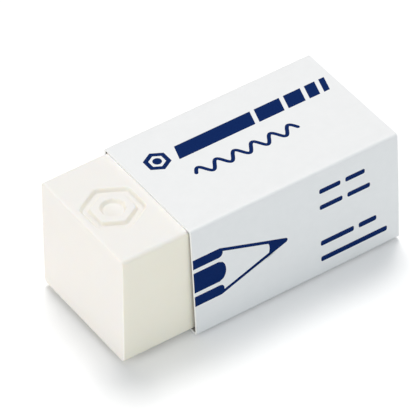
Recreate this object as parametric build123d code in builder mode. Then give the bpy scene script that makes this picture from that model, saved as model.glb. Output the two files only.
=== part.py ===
"""Small block eraser: a bar of soft vinyl in a folded and glued card sleeve that slides on it.

Millimetres, +Z up. The origin is the centre of the footprint, on the surface that the sleeve lies on.
+X runs along the bar, away from its bare end. The sleeve lies on its glued flap.
"""

import os
from math import radians, tan

from build123d import *

# Vinyl bar
block_length = 33.0  # along its underside
block_width = 14.85
block_height = 13.25
long_edge_radius = 0.5  # rounded by the extrusion die
cut_edge_radius = 0.12  # the knife leaves the edges of both ends almost sharp
end_lean = 2.0  # degrees that the bare end leans back, cut a little off square
bare_length = 8.2  # stands out of the sleeve, along its underside

# Emblem pressed into the bare top: the end of a six-sided pencil
emblem_size = 7.0  # across the corners
emblem_line = 1.05
emblem_lead = 2.4  # diameter of the round spot in the middle
emblem_depth = 0.42
emblem_draft = 35.0  # degrees that the pressed walls lean
emblem_setback = 4.2  # from the bare end's bottom edge to the emblem's middle

# Card sleeve
card = 0.25
fold_radius = 0.1  # inside each crease
rear_recess = 0.2  # how far the bar ends inside the sleeve's rear
top_gap = 0.03
far_gap = 0.05
near_gap_top = 0.18
near_gap_bottom = 0.5  # the near panel leans out towards its bottom crease
lap_inset = 1.05  # free edge of the glued flap, in from the near panel's bottom crease
lap_setback = 0.6  # flap ends, back from the sleeve's openings at the crease
lap_taper = 2.0  # and further back at the flap's free edge
raw_edge_inset = 0.4  # bottom panel's free edge, in from the far panel's middle

# Along X
overall_length = block_length + rear_recess
front = -overall_length / 2
rear = overall_length / 2
sleeve_front = front + bare_length
sleeve_length = rear - sleeve_front

# Up Z: glued flap, bottom panel, bar, top panel. These are mid-planes of the card.
lap_panel = card / 2
bottom_panel = lap_panel + card
block_bottom = 2 * card
block_top = block_bottom + block_height
top_panel = block_top + top_gap + card / 2

# Across Y, with the sleeve's whole width centred. These too are mid-planes of the card.
sleeve_width = card + near_gap_bottom + block_width + far_gap + card
near_panel_bottom = -sleeve_width / 2 + card / 2
far_panel = sleeve_width / 2 - card / 2
block_far_side = far_panel - card / 2 - far_gap
block_near_side = block_far_side - block_width
block_middle = (block_far_side + block_near_side) / 2
near_panel_top = block_near_side - near_gap_top - card / 2
flap_root = far_panel - card / 2 - fold_radius
free_edge = near_panel_bottom + lap_inset


with BuildPart() as eraser_block:
    with BuildSketch(Plane.XZ.offset(-block_middle)):
        with BuildLine():
            Polyline(
                (front, block_bottom),
                (front + block_length, block_bottom),
                (front + block_length, block_top),
                (front + block_height * tan(radians(end_lean)), block_top),
                close=True,
            )
        make_face()
    extrude(amount=block_width / 2, both=True)
    fillet(eraser_block.edges().filter_by(Axis.X), long_edge_radius)
    ends = eraser_block.faces().sort_by(Axis.X)
    fillet(ends[0].edges() + ends[-1].edges(), cut_edge_radius)

    # The emblem is a hexagonal pocket with a hexagonal island in it, and a round pocket in that.
    pressed_floor = block_top - emblem_depth
    wall_spread = emblem_depth * tan(radians(emblem_draft))
    island_size = emblem_size - 2 * emblem_line
    with BuildSketch(Plane.XY.offset(block_top)):
        with Locations((front + emblem_setback, block_middle)):
            RegularPolygon(emblem_size / 2, 6, rotation=30)
    extrude(amount=-emblem_depth, taper=emblem_draft, mode=Mode.SUBTRACT)
    with BuildSketch(Plane.XY.offset(pressed_floor)):
        with Locations((front + emblem_setback, block_middle)):
            RegularPolygon(island_size / 2 + wall_spread, 6, rotation=30)
    extrude(amount=emblem_depth, taper=emblem_draft)
    with BuildSketch(Plane.XY.offset(block_top)):
        with Locations((front + emblem_setback, block_middle)):
            Circle(emblem_lead / 2)
    extrude(amount=-emblem_depth, taper=emblem_draft, mode=Mode.SUBTRACT)
eraser_block.part.label = "eraser_block"


with BuildPart() as card_sleeve:
    # One strip of card, drawn in two runs that meet half way down the near panel. The flap lies
    # under the bottom panel, glued to it.
    near_panel_middle = ((near_panel_top + near_panel_bottom) / 2, (top_panel + bottom_panel) / 2)
    with BuildSketch(Plane.YZ.offset(sleeve_front)):
        with BuildLine():
            FilletPolyline(
                (free_edge, lap_panel),
                (far_panel, lap_panel),
                (far_panel, top_panel),
                (near_panel_top, top_panel),
                near_panel_middle,
                radius=fold_radius + card / 2,
            )
        trace(line_width=card)
        with BuildLine():
            FilletPolyline(
                near_panel_middle,
                (near_panel_bottom, bottom_panel),
                (far_panel - raw_edge_inset, bottom_panel),
                radius=fold_radius + card / 2,
            )
        trace(line_width=card)
    extrude(amount=sleeve_length)

    # The flap is cut back at both openings, and tapers to its free edge.
    with BuildSketch(Plane.XY):
        for opening, inwards in ((sleeve_front, 1), (rear, -1)):
            with BuildLine():
                Polyline(
                    (opening, flap_root),
                    (opening + inwards * lap_setback, flap_root),
                    (opening + inwards * (lap_setback + lap_taper), free_edge),
                    (opening, free_edge),
                    close=True,
                )
            make_face()
    extrude(amount=card, mode=Mode.SUBTRACT)
card_sleeve.part.label = "card_sleeve"


os.makedirs("parts", exist_ok=True)
export_step(eraser_block.part, "parts/eraser_block.step")
export_step(card_sleeve.part, "parts/card_sleeve.step")
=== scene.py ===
"""The looks of a small block eraser: a soft vinyl bar in a printed and folded card sleeve.

Shapes are worked out in millimetres in the CAD frame and turned into metres when a mesh is made.
The floor, the lights and the camera are in metres from the start.
"""

from math import atan2, ceil, cos, pi, radians, sin, tan

import bpy
import numpy as np
from mathutils import Matrix, Vector
from mathutils.geometry import delaunay_2d_cdt


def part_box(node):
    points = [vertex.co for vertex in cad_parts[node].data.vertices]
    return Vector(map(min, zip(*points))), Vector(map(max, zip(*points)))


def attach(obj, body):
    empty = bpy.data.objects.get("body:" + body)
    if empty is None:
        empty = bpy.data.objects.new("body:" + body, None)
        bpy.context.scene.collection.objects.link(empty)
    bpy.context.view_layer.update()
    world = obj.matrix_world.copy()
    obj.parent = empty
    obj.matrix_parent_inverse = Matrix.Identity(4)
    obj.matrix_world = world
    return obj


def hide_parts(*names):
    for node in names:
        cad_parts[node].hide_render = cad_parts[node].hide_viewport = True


MM = 0.001

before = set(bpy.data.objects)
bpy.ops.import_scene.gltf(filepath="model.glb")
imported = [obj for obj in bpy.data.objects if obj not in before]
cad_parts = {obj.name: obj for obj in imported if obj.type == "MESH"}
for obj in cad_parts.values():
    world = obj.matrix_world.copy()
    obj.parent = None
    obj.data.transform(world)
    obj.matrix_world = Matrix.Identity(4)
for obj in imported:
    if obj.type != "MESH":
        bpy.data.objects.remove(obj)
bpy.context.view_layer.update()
block_low, block_high = (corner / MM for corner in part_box("eraser_block"))
sleeve_low, sleeve_high = (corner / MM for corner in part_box("card_sleeve"))

# Sizes that the frame's boxes don't give, the same as the CAD's but for the cut edges
LONG_EDGE_RADIUS = 0.5
CUT_EDGE_RADIUS = 0.14  # a little more than the CAD's, to catch the light
END_LEAN = radians(2.0)
EMBLEM_SIZE = 7.0  # across the corners
EMBLEM_LINE = 1.05
EMBLEM_LEAD = 2.4  # diameter of the round spot in the middle
EMBLEM_DEPTH = 0.42
EMBLEM_SETBACK = 4.2
FOLD_RADIUS = 0.1  # inside each crease
NEAR_GAP_TOP = 0.18
TOP_GAP = 0.03
LAP_WIDTH = 14.6  # glued flap, from the far panel's bottom crease
LAP_SETBACK = 0.6
LAP_TAPER = 2.0
RAW_EDGE_INSET = 0.4

# Small unevenness that the CAD leaves out
SIDE_WAVE = 0.025  # how far the bar's sides fall short of flat
END_DISH = 0.05  # how far the middle of each cut end is sunk
FAR_BOW = 0.04  # how far the far panel stands out
NEAR_BOW = 0.05
PRESSED_WALL = 0.36  # width of the emblem's soft walls

# Mesh steps
FINE = 0.06  # at the emblem
COARSE = 0.6  # over the rest of the bar
CARD_STEP = 0.8
CORNER_STEPS = 10  # round each long edge of the bar
EDGE_STEPS = 5  # round its cut edges
FOLD_STEPS = 8
SHARP_ANGLE = radians(35)

INK = (0.0014, 0.0165, 0.103, 1.0)
MOTTLED_INK = (0.0022, 0.0205, 0.117, 1.0)
WHITE = (1.0, 1.0, 1.0, 1.0)
SOFTBOX_DISTANCE = 2.0  # metres


# ---------------------------------------------------------------- small helpers


def smooth_step(value):
    """0 below 0, 1 above 1, and a soft S between."""
    t = np.clip(value, 0.0, 1.0)
    return t * t * (3.0 - 2.0 * t)


def make_piece(name, points, faces, slots, materials, body, replaced):
    """A smooth-shaded mesh piece from points in millimetres, with a material slot number for each face."""
    mesh = bpy.data.meshes.new(name)
    mesh.from_pydata([tuple(point) for point in np.asarray(points) * MM], [], faces)
    for material in materials:
        mesh.materials.append(material)
    mesh.polygons.foreach_set("material_index", np.asarray(slots, dtype=np.int32))
    mesh.polygons.foreach_set("use_smooth", np.ones(len(faces), dtype=bool))
    mesh.set_sharp_from_angle(angle=SHARP_ANGLE)
    mesh.update()
    piece = bpy.data.objects.new(name, mesh)
    bpy.context.scene.collection.objects.link(piece)
    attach(piece, body)
    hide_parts(replaced)
    return piece


class Shader:
    """A Principled material whose patterns are laid out in millimetres of the object's own space."""

    def __init__(self, name, **inputs):
        self.material = bpy.data.materials.new(name)
        self.material.use_nodes = True
        self.tree = self.material.node_tree
        self.surface = self.tree.nodes["Principled BSDF"]
        for socket, value in inputs.items():
            self.surface.inputs[socket.replace("_", " ")].default_value = value
        place = self.tree.nodes.new("ShaderNodeTexCoord")
        self.normal = place.outputs["Normal"]
        self.place = self.stretched(place.outputs["Object"], (1 / MM,) * 3)

    def link(self, source, socket):
        self.tree.links.new(source, socket)

    def stretched(self, vector, scale):
        node = self.tree.nodes.new("ShaderNodeVectorMath")
        node.operation = "MULTIPLY"
        self.link(vector, node.inputs[0])
        node.inputs[1].default_value = scale
        return node.outputs["Vector"]

    def noise(self, per_mm, detail=3.0, rough=0.5, distortion=0.0):
        """Noise with about this many features to the millimetre along X, Y and Z."""
        node = self.tree.nodes.new("ShaderNodeTexNoise")
        self.link(self.stretched(self.place, per_mm), node.inputs["Vector"])
        node.inputs["Scale"].default_value = 1.0
        node.inputs["Detail"].default_value = detail
        node.inputs["Roughness"].default_value = rough
        node.inputs["Distortion"].default_value = distortion
        return node.outputs["Fac"]

    def between(self, value, low, high, at_low=0.0, at_high=1.0):
        """at_low where value is low, at_high where it is high, and clamped outside."""
        node = self.tree.nodes.new("ShaderNodeMapRange")
        self.link(value, node.inputs["Value"])
        for socket, number in zip(("From Min", "From Max", "To Min", "To Max"), (low, high, at_low, at_high)):
            node.inputs[socket].default_value = number
        return node.outputs["Result"]

    def mixed(self, factor, first, second):
        """The first colour where the factor is 0, the second where it is 1. Each may be plain or linked."""
        node = self.tree.nodes.new("ShaderNodeMix")
        node.data_type = "RGBA"
        self.link(factor, node.inputs["Factor"])
        for value, socket in ((first, node.inputs[6]), (second, node.inputs[7])):
            if isinstance(value, tuple):
                socket.default_value = value
            else:
                self.link(value, socket)
        return node.outputs[2]

    def axis(self, vector, name):
        node = self.tree.nodes.new("ShaderNodeSeparateXYZ")
        self.link(vector, node.inputs["Vector"])
        return node.outputs[name]

    def bumped(self, height, depth_mm, under=None):
        """A bump of this depth, on top of another one if there is one."""
        node = self.tree.nodes.new("ShaderNodeBump")
        node.inputs["Distance"].default_value = depth_mm * MM
        self.link(height, node.inputs["Height"])
        if under is not None:
            self.link(under, node.inputs["Normal"])
        return node.outputs["Normal"]

    def finish(self, colour, roughness, normal):
        for source, socket in ((colour, "Base Color"), (roughness, "Roughness"), (normal, "Normal")):
            self.link(source, self.surface.inputs[socket])
        return self.material


# ---------------------------------------------------------------- materials


def vinyl():
    """Chalk-filled soft vinyl: a little translucent, with extrusion lines, and painted warmer on its sides
    than where it faces up, a painted glow for light coming through the vinyl.
    """
    s = Shader(
        "soft_vinyl",
        Subsurface_Weight=0.25,
        Subsurface_Radius=(1.0, 0.8, 0.55),
        Subsurface_Scale=0.25 * MM,
        Specular_IOR_Level=0.32,
        IOR=1.5,
    )
    # Painted glow: the sides and bottom get a warmer colour and the top a paler one, standing in for light
    # that passes through the vinyl and comes out of its sides.
    painted_glow_facing = s.between(s.axis(s.normal, "Z"), 0.25, 0.95)
    painted_side_glow = s.mixed(s.noise((0.35, 0.35, 0.35)), (0.93, 0.875, 0.75, 1), (0.945, 0.893, 0.775, 1))
    painted_top_tone = s.mixed(s.noise((0.5, 0.5, 0.5)), (0.872, 0.848, 0.81, 1), (0.885, 0.862, 0.827, 1))
    roughness = s.between(s.noise((1.3, 1.3, 1.3)), 0.3, 0.7, 0.52, 0.64)
    lines = s.bumped(s.noise((0.08, 3.0, 3.0), detail=2.0), 0.006)
    grain = s.bumped(s.noise((9.0, 9.0, 9.0), detail=4.0, rough=0.6), 0.004, under=lines)
    return s.finish(s.mixed(painted_glow_facing, painted_side_glow, painted_top_tone), roughness, grain)


def cut_vinyl():
    """The same vinyl where the knife went through: slightly duller, with fine marks down the cut."""
    s = Shader(
        "cut_vinyl",
        Subsurface_Weight=0.25,
        Subsurface_Radius=(1.0, 0.8, 0.55),
        Subsurface_Scale=0.25 * MM,
        Specular_IOR_Level=0.28,
        IOR=1.5,
    )
    colour = s.mixed(s.noise((0.3, 0.3, 0.3), detail=4.0), (0.92, 0.875, 0.82, 1), (0.935, 0.892, 0.84, 1))
    roughness = s.between(s.noise((0.5, 5.0, 0.5)), 0.3, 0.7, 0.56, 0.7)
    marks = s.bumped(s.noise((2.0, 5.0, 0.25), detail=2.0), 0.005)
    grain = s.bumped(s.noise((8.0, 8.0, 8.0), detail=4.0, rough=0.6), 0.004, under=marks)
    return s.finish(colour, roughness, grain)


def coated_card():
    """The sleeve's printed side: smooth white coating over board whose fibres show a little."""
    s = Shader("coated_card", Specular_IOR_Level=0.4, IOR=1.48)
    cloud = s.noise((0.9, 0.9, 0.9), detail=4.0, rough=0.6)
    colour = s.mixed(s.between(cloud, 0.3, 0.7), (0.835, 0.84, 0.842, 1), (0.855, 0.858, 0.86, 1))
    roughness = s.between(s.noise((2.5, 2.5, 2.5)), 0.3, 0.7, 0.36, 0.46)
    fibre = s.bumped(s.noise((3.0, 7.0, 7.0), detail=3.0), 0.0035)
    return s.finish(colour, roughness, fibre)


def printed_ink():
    """Navy ink on the coating, with the slight mottle of a solid print."""
    s = Shader("navy_ink", Specular_IOR_Level=0.03, IOR=1.48)
    mottle = s.between(s.noise((5.0, 5.0, 5.0), detail=3.0), 0.35, 0.65)
    colour = s.mixed(mottle, INK, MOTTLED_INK)
    roughness = s.between(s.noise((3.0, 3.0, 3.0)), 0.3, 0.7, 0.42, 0.5)
    fibre = s.bumped(s.noise((3.0, 7.0, 7.0), detail=3.0), 0.0035)
    return s.finish(colour, roughness, fibre)


def bare_card():
    """The sleeve's inside: uncoated grey-backed board with visible fibres, its grey set dark as partly
    painted shade for the gap at the opening.
    """
    s = Shader("bare_card", Specular_IOR_Level=0.2)
    fibres = s.noise((2.0, 9.0, 9.0), detail=4.0, rough=0.65, distortion=0.6)
    # Partly painted shade: the board's grey is real, but it is set this dark to deepen the shade in the gap
    # between the block and the sleeve.
    colour = s.mixed(s.between(fibres, 0.3, 0.7), (0.36, 0.35, 0.335, 1), (0.45, 0.44, 0.425, 1))
    roughness = s.between(fibres, 0.3, 0.7, 0.82, 0.94)
    return s.finish(colour, roughness, s.bumped(fibres, 0.012))


def card_core():
    """The card's cut edge: bright, soft and fibrous."""
    s = Shader("card_core", Specular_IOR_Level=0.15)
    layers = s.noise((12.0, 12.0, 12.0), detail=3.0)
    colour = s.mixed(s.between(layers, 0.3, 0.7), (0.88, 0.88, 0.865, 1), (0.93, 0.93, 0.92, 1))
    roughness = s.between(layers, 0.3, 0.7, 0.85, 0.95)
    return s.finish(colour, roughness, s.bumped(layers, 0.01))


# ---------------------------------------------------------------- the vinyl block


def along(stops, steps):
    """Values that go through the stops in order, each stretch cut into its own step at most."""
    values = [stops[0]]
    for start, end, step in zip(stops, stops[1:], steps):
        count = max(1, ceil(abs(end - start) / step - 1e-6))
        values += [start + (end - start) * i / count for i in range(1, count + 1)]
    return values


EMBLEM_REACH = EMBLEM_SIZE / 2 * cos(pi / 6)
EMBLEM_X = block_low.x + EMBLEM_SETBACK
BLOCK_Y = (block_low.y + block_high.y) / 2
BLOCK_Z = (block_low.z + block_high.z) / 2
EMBLEM_MARGIN = 0.2  # of fine mesh round the emblem


def section_frame():
    """The places round the bar's section that its corner radius is laid off from, and the ways out."""
    inner_low = (block_low.y + LONG_EDGE_RADIUS, block_low.z + LONG_EDGE_RADIUS)
    inner_high = (block_high.y - LONG_EDGE_RADIUS, block_high.z - LONG_EDGE_RADIUS)
    emblem_half = EMBLEM_SIZE / 2 + EMBLEM_MARGIN
    top_stops = (inner_high[0], BLOCK_Y + emblem_half, BLOCK_Y - emblem_half, inner_low[0])
    bottom = [(y, inner_low[1]) for y in along((inner_low[0], inner_high[0]), (COARSE,))]
    far = [(inner_high[0], z) for z in along((inner_low[1], inner_high[1]), (COARSE,))]
    top = [(y, inner_high[1]) for y in along(top_stops, (COARSE, FINE, COARSE))]
    near = [(inner_low[0], z) for z in along((inner_high[1], inner_low[1]), (COARSE,))]
    anchors, ways = [], []
    for quarter, side in enumerate((bottom, far, top, near)):
        facing = (quarter - 1) * pi / 2
        anchors += side
        ways += [(cos(facing), sin(facing))] * len(side)
        arc = [facing + pi / 2 * i / CORNER_STEPS for i in range(1, CORNER_STEPS)]
        anchors += [side[-1]] * len(arc)
        ways += [(cos(angle), sin(angle)) for angle in arc]
    return np.array(anchors), np.array(ways)


def pressed_depth(x, y):
    """How deep the emblem, the end of a six-sided pencil, is pressed into the top here."""
    dx, dy = x - EMBLEM_X, y - BLOCK_Y
    across = [np.abs(dx * cos(a) + dy * sin(a)) for a in (0, pi / 3, 2 * pi / 3)]
    power = 18  # a lower one would round the hexagon's corners more
    reach = sum(distance**power for distance in across) ** (1 / power)
    island = (EMBLEM_SIZE / 2 - EMBLEM_LINE) * cos(pi / 6)
    outer_wall = smooth_step((EMBLEM_REACH - reach) / PRESSED_WALL)
    inner_wall = smooth_step((reach - island) / PRESSED_WALL + 0.5)
    ring = outer_wall * inner_wall
    lead = smooth_step((EMBLEM_LEAD / 2 - np.hypot(dx, dy)) / PRESSED_WALL + 0.5)
    return EMBLEM_DEPTH * np.maximum(ring, lead)


def build_block():
    """The bar as rings of points from end to end, with the emblem pressed into its top."""
    anchors, ways = section_frame()
    count = len(anchors)

    # Each ring has a place along the bar, an inset and a share of full size.
    edge = [pi / 2 * i / EDGE_STEPS for i in range(EDGE_STEPS + 1)]
    front = [(block_low.x, CUT_EDGE_RADIUS, share) for share in (0.2, 0.4, 0.6, 0.8, 0.92, 0.985)]
    front += [
        (block_low.x + CUT_EDGE_RADIUS * (1 - cos(a)), CUT_EDGE_RADIUS * (1 - sin(a)), 1.0) for a in edge
    ]
    lean_left = 0.9  # share of the bare end's lean that is left at the emblem
    lean_at_emblem = (block_high.z - block_low.z) * tan(END_LEAN) * lean_left
    fine_half = EMBLEM_REACH + EMBLEM_MARGIN
    emblem_stops = [EMBLEM_X - lean_at_emblem + reach for reach in (-fine_half, fine_half)]
    stops = (front[-1][0], *emblem_stops, block_high.x - CUT_EDGE_RADIUS)
    body = [(x, 0.0, 1.0) for x in along(stops, (COARSE, FINE, COARSE))[1:-1]]
    rear = [(block_low.x + block_high.x - x, inset, share) for x, inset, share in reversed(front)]
    rings = front + body + rear

    middle = np.array((BLOCK_Y, BLOCK_Z))
    points = []
    length = block_high.x - block_low.x
    for x, inset, share in rings:
        section = anchors + ways * (LONG_EDGE_RADIUS - inset)
        section = middle + (section - middle) * share
        lean = (section[:, 1] - block_low.z) * tan(END_LEAN) * (1 - (x - block_low.x) / length)
        points.append(np.column_stack((x + lean, section)))
    points = np.array(points)

    # The extruded sides are never quite flat, and the cuts are very slightly dished.
    x, y, z = points[..., 0], points[..., 1], points[..., 2]
    sunk = 0.5 + 0.25 * np.sin(0.61 * x + 0.9 * y) + 0.25 * np.sin(0.83 * y - 0.47 * z + 0.37 * x + 1.1)
    shares = np.array([share for _, _, share in rings])
    side = (shares == 1.0)[:, None]
    points[..., 1] -= np.where(side, SIDE_WAVE * sunk * ways[None, :, 0], 0.0)
    points[..., 2] -= np.where(side, SIDE_WAVE * sunk * np.minimum(ways[None, :, 1], 0.0), 0.0)
    dish = END_DISH * (1 - shares**2)[:, None] * np.where(points[..., 0] < 0, 1.0, -1.0)
    points[..., 0] += dish
    flat_top = (ways[:, 1] > 0.999)[None, :] & side
    points[..., 2] -= np.where(flat_top, pressed_depth(x, y), 0.0)

    faces, slots = [], []
    total = len(rings)
    cut_rings = len(front) - 3  # the knife's cut reaches half way round its edge
    for ring in range(total - 1):
        cut = ring < cut_rings or ring >= total - 1 - cut_rings
        for i in range(count):
            j = (i + 1) % count
            a, b = ring * count, (ring + 1) * count
            faces.append((a + i, b + i, b + j, a + j))
            slots.append(1 if cut else 0)
    flat = points.reshape(-1, 3)
    front_middle, rear_middle = len(flat), len(flat) + 1
    centres = [flat[:count].mean(0), flat[-count:].mean(0)]
    last = (total - 1) * count
    for i in range(count):
        j = (i + 1) % count
        faces += [(front_middle, i, j), (rear_middle, last + j, last + i)]
        slots += [1, 1]
    return make_piece(
        "vinyl_block", np.vstack((flat, centres)), faces, slots, [vinyl(), cut_vinyl()],
        "block", "eraser_block",
    )


# ---------------------------------------------------------------- the print on the sleeve
#
# Each shape is a list of closed outlines (the inside is what an odd number of them go round), in
# millimetres on its panel: along the panel from the sleeve's front opening, and across it.


def bar(start, end, middle, height, radius):
    """A straight bar with rounded corners."""
    low, high = middle - height / 2, middle + height / 2
    outline = []
    for cu, cv, turn in (
        (end - radius, low + radius, -pi / 2),
        (end - radius, high - radius, 0.0),
        (start + radius, high - radius, pi / 2),
        (start + radius, low + radius, pi),
    ):
        for a in np.linspace(0, pi / 2, 5):
            outline.append((cu + radius * cos(turn + a), cv + radius * sin(turn + a)))
    return [outline]


def slanted(start, end, middle, height, slant):
    """A bar whose ends lean forward."""
    low, high = middle - height / 2, middle + height / 2
    return [[(start - slant, low), (end - slant, low), (end + slant, high), (start + slant, high)]]


def wave(start, end, middle, rise, length, line):
    """A wavy line with round ends, like a quick pencil scribble."""
    turns = 2 * pi / length
    step = 0.09
    us = np.linspace(start, end, int((end - start) / step))
    leans = [atan2(rise * turns * cos(turns * (u - start)), 1.0) for u in us]
    middles = [(u, middle + rise * sin(turns * (u - start))) for u in us]
    low_edge, high_edge = (
        [
            (u - side * line / 2 * sin(lean), v + side * line / 2 * cos(lean))
            for (u, v), lean in zip(middles, leans)
        ]
        for side in (-1, 1)
    )
    halves = (
        (low_edge, middles[-1], leans[-1], -pi / 2),
        (high_edge[::-1], middles[0], leans[0], pi / 2),
    )
    outline = []
    for edge, (u, v), lean, ahead in halves:
        outline += edge
        for a in np.linspace(0, pi, 7)[1:-1]:
            outline.append((u + line / 2 * cos(lean + ahead + a), v + line / 2 * sin(lean + ahead + a)))
    return [outline]


def polygon(centre, size, sides, turned=0.0):
    corners = [turned + 2 * pi * i / sides for i in range(sides)]
    return [(centre[0] + size / 2 * cos(a), centre[1] + size / 2 * sin(a)) for a in corners]


def pencil_end(centre, size):
    """The printed emblem: a hexagonal ring with a round lead in the middle."""
    return [
        polygon(centre, size, 6, pi / 6),
        polygon(centre, size * 0.62, 6, pi / 6),
        polygon(centre, size * 0.34, 24),
    ]


def body_stripe(start, end, low, high, bulge):
    """One painted flat of the pencil, with its sharpened end curved towards the point."""
    middle, half = (low + high) / 2, (high - low) / 2
    outline = [(start, high), (start, low)]
    for share in np.linspace(-1, 1, 13):
        outline.append((end + bulge * (1 - share * share) ** 0.5, middle + half * share))
    return [outline]


def pencil():
    """A plain pencil drawn along the panel from the opening, its point towards the rear."""
    axis = 7.0  # up the panel
    half = 3.05  # of its thickness
    shoulder = 3.2  # end of the painted body
    lead = 8.7  # start of the bared lead
    tip = 11.3
    blunt = 0.3  # radius of the tip
    line = 0.42
    overlap = 0.3  # of the cone's lines with the body and the lead
    slope = (half - blunt) / (tip - blunt - shoulder)

    def cone(u):
        return half - (u - shoulder) * slope

    shapes = [
        body_stripe(0.0, shoulder - 0.1, axis + 1.85, axis + half, bulge=0.45),
        body_stripe(0.0, shoulder - 0.2, axis - 1.25, axis + 1.35, bulge=0.85),
        body_stripe(0.0, shoulder - 0.1, axis - half, axis - 1.75, bulge=0.45),
    ]
    for side in (1, -1):
        shapes.append([[
            (shoulder - overlap, axis + side * half),
            (shoulder - 0.1, axis + side * (half - line)),
            (shoulder + 0.4, axis + side * (cone(shoulder + 0.4) - line)),
            (lead + overlap, axis + side * (cone(lead + overlap) - line)),
            (lead + overlap, axis + side * cone(lead + overlap)),
            (shoulder, axis + side * half),
        ]])
    outline = []
    for turn in np.linspace(-1.3, 1.3, 9):
        outline.append((tip - blunt + blunt * cos(turn), axis + blunt * sin(turn)))
    for share in np.linspace(1, -1, 13):
        outline.append((lead + 0.4 * (1 - share * share), axis + share * cone(lead)))
    shapes.append([outline])
    return shapes


def top_print():
    """The emblem, a row of bars that get shorter and a wavy line. Across the panel is Y."""
    shapes = [pencil_end((3.2, 3.15), size=2.9)]
    start = 5.5
    gap = 0.5
    for width in (9.2, 3.1, 2.1, 1.3, 0.7):
        shapes.append(slanted(start, start + width, middle=3.07, height=1.95, slant=0.3))
        start += width + gap
    shapes.append(wave(5.4, 17.6, middle=-0.6, rise=0.62, length=2.2, line=0.42))
    return shapes


def side_print():
    """The pencil, and short bars in rows like small print, measured up from the bottom crease."""
    margin = 15.3
    rows = [  # height up the panel, thickness, and where each bar starts and ends
        (11.1, 0.6, (margin, 17.9), (18.5, 20.9)),
        (9.0, 0.6, (margin, 18.1), (18.7, 21.5)),
        (4.25, 0.66, (margin, 19.4), (20.0, 22.2)),
        (2.15, 0.66, (margin, 23.5)),
    ]
    shapes = pencil()
    for middle, height, *spans in rows:
        shapes += [bar(start, end, middle, height, radius=0.2) for start, end in spans]
    return shapes


# ---------------------------------------------------------------- the card sleeve


class Strip:
    """The sleeve's card as one folded strip, followed along the middle of its thickness."""

    def __init__(self, corners, radius):
        self.runs = []  # start distance, length, start point, start direction, radius (0 for a flat panel)
        self.folds = []  # start and end distance of each fold
        place, done = Vector(corners[0]), 0.0
        for before, corner, after in zip(corners, corners[1:], corners[2:]):
            way_in = (Vector(corner) - Vector(before)).normalized()
            way_out = (Vector(after) - Vector(corner)).normalized()
            turn = way_in.angle(way_out)
            meet = Vector(corner) - way_in * radius * tan(turn / 2)
            flat = (meet - place).length
            self.runs.append((done, flat, place, way_in, 0.0))
            done += flat
            self.runs.append((done, turn * radius, meet, way_in, radius))
            self.folds.append((done, done + turn * radius))
            done += turn * radius
            place = Vector(corner) + way_out * radius * tan(turn / 2)
        end = Vector(corners[-1])
        self.runs.append((done, (end - place).length, place, (end - place).normalized(), 0.0))
        self.length = done + (end - place).length

    def at(self, distance):
        """The point (y, z) in the middle of the card, and the way out of the sleeve."""
        start, _, place, way, radius = [run for run in self.runs if run[0] <= distance + 1e-9][-1]
        travel = distance - start
        if radius:
            angle = travel / radius
            left = Vector((-way.y, way.x))
            place = place + left * radius * (1 - cos(angle)) + way * radius * sin(angle)
            way = way * cos(angle) + left * sin(angle)
        else:
            place = place + way * travel
        return place, Vector((way.y, -way.x))


def sleeve_strip(card):
    """The strip through the middles of the panels: flap, far side, top, near side and bottom."""
    lap_panel = sleeve_low.z + card / 2
    bottom_panel = lap_panel + card
    top_panel = sleeve_high.z - card / 2
    far_panel = sleeve_high.y - card / 2
    near_panel = sleeve_low.y + card / 2
    near_panel_top = block_low.y - NEAR_GAP_TOP - card / 2
    corners = [
        (far_panel - LAP_WIDTH, lap_panel),
        (far_panel, lap_panel),
        (far_panel, top_panel),
        (near_panel_top, top_panel),
        (near_panel, bottom_panel),
        (far_panel - RAW_EDGE_INSET, bottom_panel),
    ]
    return Strip(corners, FOLD_RADIUS + card / 2)


def blank_layout(strip):
    """The sleeve's flat blank as points and lines: its outline, its creases and its print."""
    front, rear = sleeve_low.x, sleeve_high.x
    folds = strip.folds
    columns = along((front, rear), (CARD_STEP,))
    points, lines, outlines = [], [], []

    def chain(places, closed=False):
        first = len(points)
        points.extend(places)
        count = len(places)
        lines.extend((first + i, first + (i + 1) % count) for i in range(count if closed else count - 1))
        return list(range(first, first + count))

    flap_end = LAP_SETBACK + LAP_TAPER
    root = folds[0][0]
    edge_rows = along((root, strip.length), (CARD_STEP,))
    outline = [(x, 0.0) for x in along((front + flap_end, rear - flap_end), (CARD_STEP,))]
    outline += [(rear - LAP_SETBACK, root)]
    outline += [(rear, s) for s in edge_rows]
    outline += [(x, strip.length) for x in reversed(columns[:-1])]
    outline += [(front, s) for s in reversed(edge_rows[:-1])]
    outline += [(front + LAP_SETBACK, root)]
    border = chain(outline, closed=True)

    for fold_start, fold_end in folds:
        for i in range(FOLD_STEPS + 1):
            chain([(x, fold_start + (fold_end - fold_start) * i / FOLD_STEPS) for x in columns])
    for run_start, run_length, _, _, radius in strip.runs[2:]:
        if not radius:
            rows = along((run_start, run_start + run_length), (CARD_STEP,))[1:-1]
            points.extend((x, s) for s in rows for x in columns[1:-1])

    top_start = folds[1][1]
    top_edge = strip.at(top_start)[0].x
    near_start, near_end = folds[2][1], folds[3][0]
    near_top, near_bottom = strip.at(near_start)[0].y, strip.at(near_end)[0].y
    near_scale = (near_end - near_start) / (near_top - near_bottom)
    crease = (sleeve_low.z + block_low.z) / 2
    panels = (
        (top_print(), lambda u, v: (front + u, top_start + top_edge - v)),
        (side_print(), lambda u, v: (front + u, near_start + (near_top - crease - v) * near_scale)),
    )
    for shapes, place in panels:
        for shape in shapes:
            loops = [[place(u, v) for u, v in loop] for loop in shape]
            for loop in loops:
                chain(loop, closed=True)
            outlines.append(loops)
    return points, lines, border, outlines


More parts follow.
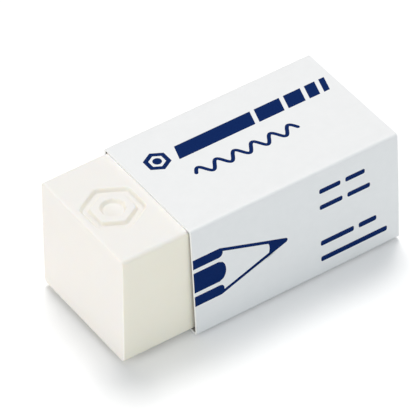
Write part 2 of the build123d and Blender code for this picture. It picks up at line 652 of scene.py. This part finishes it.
def inside(loops, x, s):
    """True where an odd number of the outlines go round the point."""
    odd = np.zeros(len(x), dtype=bool)
    for loop in loops:
        for (x0, s0), (x1, s1) in zip(loop, loop[1:] + loop[:1]):
            crosses = (s0 > s) != (s1 > s)
            if s0 != s1:
                odd ^= crosses & (x < (x1 - x0) * (s - s0) / (s1 - s0) + x0)
    return odd


def panel_bow(strip, x, s):
    """How far the card stands out between its folds: the sides bulge, and the top lies on the block."""
    bow = 0.0
    for panel, amount in ((1, FAR_BOW), (3, NEAR_BOW)):
        start, end = strip.folds[panel - 1][1], strip.folds[panel][0]
        if start < s < end:
            across = sin(pi * (s - start) / (end - start))
            bow = amount * across * (0.8 + 0.2 * sin(0.23 * x + panel))
    top_start, top_end = strip.folds[1][1], strip.folds[2][0]
    if top_start < s < top_end:
        reach = 0.9  # how far from its folds the top comes down on the block
        bow = -TOP_GAP * float(smooth_step(min(s - top_start, top_end - s) / reach))
    return bow


def build_sleeve():
    """The card cut out flat, with its print, and then folded."""
    card = (block_low.z - sleeve_low.z) / 2
    strip = sleeve_strip(card)
    glue_line = 0.01  # keeps the flap and the bottom panel from sharing a face
    half = (card - glue_line) / 2
    points, lines, border, outlines = blank_layout(strip)
    flat, _, triangles, _, _, _ = delaunay_2d_cdt([Vector(p) for p in points], lines, [], 0, 1e-6)
    flat = np.array([tuple(p) for p in flat])
    triangles = np.array(triangles)
    middles = flat[triangles].mean(1)
    outline = [points[i] for i in border]
    kept = inside([outline], middles[:, 0], middles[:, 1])
    triangles, middles = triangles[kept], middles[kept]
    inked = np.zeros(len(triangles), dtype=bool)
    for loops in outlines:
        inked |= inside(loops, middles[:, 0], middles[:, 1])

    used = np.unique(triangles)
    number = np.full(len(flat), -1)
    number[used] = np.arange(len(used))
    triangles = number[triangles]
    outer, inner = [], []
    for x, s in flat[used]:
        place, way = strip.at(s)
        bow = panel_bow(strip, x, s)
        out, back = place + way * (half + bow), place - way * (half - bow)
        outer.append((x, out.x, out.y))
        inner.append((x, back.x, back.y))
    count = len(used)

    # With all triangles wound alike, an edge that no neighbour runs the other way is on the rim.
    a, b, c = (flat[used][triangles[:, i]] for i in range(3))
    clockwise = np.cross(b - a, c - a) < 0
    turned = np.where(clockwise[:, None], triangles[:, ::-1], triangles)
    edges = {}
    for face in turned:
        for i in range(3):
            edges[(face[i], face[(i + 1) % 3])] = True
    rim = [edge for edge in edges if (edge[1], edge[0]) not in edges]
    faces = [tuple(int(i) for i in face) for face in turned]
    slots = [1 if ink else 0 for ink in inked]
    faces += [tuple(int(i) + count for i in face[::-1]) for face in turned]
    slots += [2] * len(turned)
    faces += [(int(j), int(i), int(i) + count, int(j) + count) for i, j in rim]
    slots += [3] * len(rim)

    # One outer face shows whether the whole skin looks inwards and has to be turned.
    points_3d = np.array(outer + inner)
    first = faces[0]
    p, q, r = (points_3d[i] for i in first)
    place, way = strip.at(flat[used][first[0]][1])
    if np.dot(np.cross(q - p, r - p)[1:], way) < 0:
        faces = [face[::-1] for face in faces]
    return make_piece(
        "printed_sleeve", points_3d, faces, slots,
        [coated_card(), printed_ink(), bare_card(), card_core()],
        "sleeve", "card_sleeve",
    )


# ---------------------------------------------------------------- floor, light and camera


def build_floor():
    """A plain white floor that keeps the eraser's soft shadow."""
    half = 3.0
    lit_colour = (0.88, 0.88, 0.88, 1)
    seen_lift = 0.07  # glow that only the camera sees, so that the open floor reads as plain white
    corners = [(-half, -half, 0), (half, -half, 0), (half, half, 0), (-half, half, 0)]
    mesh = bpy.data.meshes.new("floor")
    mesh.from_pydata(corners, [], [(0, 1, 2, 3)])
    material = bpy.data.materials.new("white_floor")
    material.use_nodes = True
    nodes, links = material.node_tree.nodes, material.node_tree.links
    nodes.clear()
    seen = nodes.new("ShaderNodeLightPath")
    colour = nodes.new("ShaderNodeMix")
    colour.data_type = "RGBA"
    colour.inputs[6].default_value = lit_colour
    colour.inputs[7].default_value = WHITE
    diffuse = nodes.new("ShaderNodeBsdfDiffuse")
    lift = nodes.new("ShaderNodeEmission")
    scaled = nodes.new("ShaderNodeMath")
    scaled.operation = "MULTIPLY"
    scaled.inputs[1].default_value = seen_lift
    both = nodes.new("ShaderNodeAddShader")
    output = nodes.new("ShaderNodeOutputMaterial")
    links.new(seen.outputs["Is Camera Ray"], colour.inputs["Factor"])
    links.new(colour.outputs[2], diffuse.inputs["Color"])
    links.new(seen.outputs["Is Camera Ray"], scaled.inputs[0])
    links.new(scaled.outputs["Value"], lift.inputs["Strength"])
    links.new(diffuse.outputs["BSDF"], both.inputs[0])
    links.new(lift.outputs["Emission"], both.inputs[1])
    links.new(both.outputs["Shader"], output.inputs["Surface"])
    mesh.materials.append(material)
    floor = bpy.data.objects.new("floor", mesh)
    bpy.context.scene.collection.objects.link(floor)


def add_softbox(name, towards, size, share, colour):
    """A square light. A white surface that faces it gets this share of plain full light from it."""
    away = Vector(towards).normalized() * SOFTBOX_DISTANCE
    light = bpy.data.lights.new(name, "AREA")
    light.shape = "SQUARE"
    light.size = size
    light.energy = share * pi**2 * away.length_squared
    light.color = colour
    lamp = bpy.data.objects.new(name, light)
    lamp.location = away
    lamp.rotation_euler = away.to_track_quat("Z", "Y").to_euler()
    bpy.context.scene.collection.objects.link(lamp)


def build_light():
    """A white studio: even light all round, and three softboxes. Only the camera sees the plain white."""
    world = bpy.data.worlds.new("studio")
    bpy.context.scene.world = world
    world.use_nodes = True
    nodes, links = world.node_tree.nodes, world.node_tree.links
    nodes.clear()
    seen = nodes.new("ShaderNodeLightPath")
    colour = nodes.new("ShaderNodeMix")
    colour.data_type = "RGBA"
    colour.inputs[6].default_value = (0.36, 0.372, 0.382, 1)
    colour.inputs[7].default_value = WHITE
    background = nodes.new("ShaderNodeBackground")
    output = nodes.new("ShaderNodeOutputWorld")
    links.new(seen.outputs["Is Camera Ray"], colour.inputs["Factor"])
    links.new(colour.outputs[2], background.inputs["Color"])
    links.new(background.outputs["Background"], output.inputs["Surface"])
    add_softbox("overhead", (0.22, 0.33, 0.92), size=0.8, share=0.58, colour=(1.02, 1.0, 0.98))
    add_softbox("left", (-0.97, -0.05, 0.22), size=1.4, share=0.47, colour=(1.0, 0.99, 0.98))
    add_softbox("front", (-0.15, -0.97, 0.2), size=1.4, share=0.27, colour=(0.88, 1.0, 1.05))


def build_camera():
    """A long lens from the front left, a little over 40 degrees up."""
    azimuth = radians(-32.6)
    elevation = radians(41.95)
    roll = radians(-2.23)
    distance = 0.4
    aim = Vector((-0.00088, 0.00047, 0.00713))
    back = Vector((sin(azimuth) * cos(elevation), -cos(azimuth) * cos(elevation), sin(elevation)))
    data = bpy.data.cameras.new("camera")
    data.sensor_width = 36.0
    data.lens = 339.4
    data.clip_start, data.clip_end = 0.01, 20.0
    camera = bpy.data.objects.new("camera", data)
    turn = (-back).to_track_quat("-Z", "Y").to_matrix().to_4x4() @ Matrix.Rotation(roll, 4, "Z")
    camera.matrix_world = Matrix.Translation(aim + back * distance) @ turn
    bpy.context.scene.collection.objects.link(camera)
    bpy.context.scene.camera = camera


build_block()
build_sleeve()
build_floor()
build_light()
build_camera()
bpy.context.scene.view_settings.view_transform = "Standard"
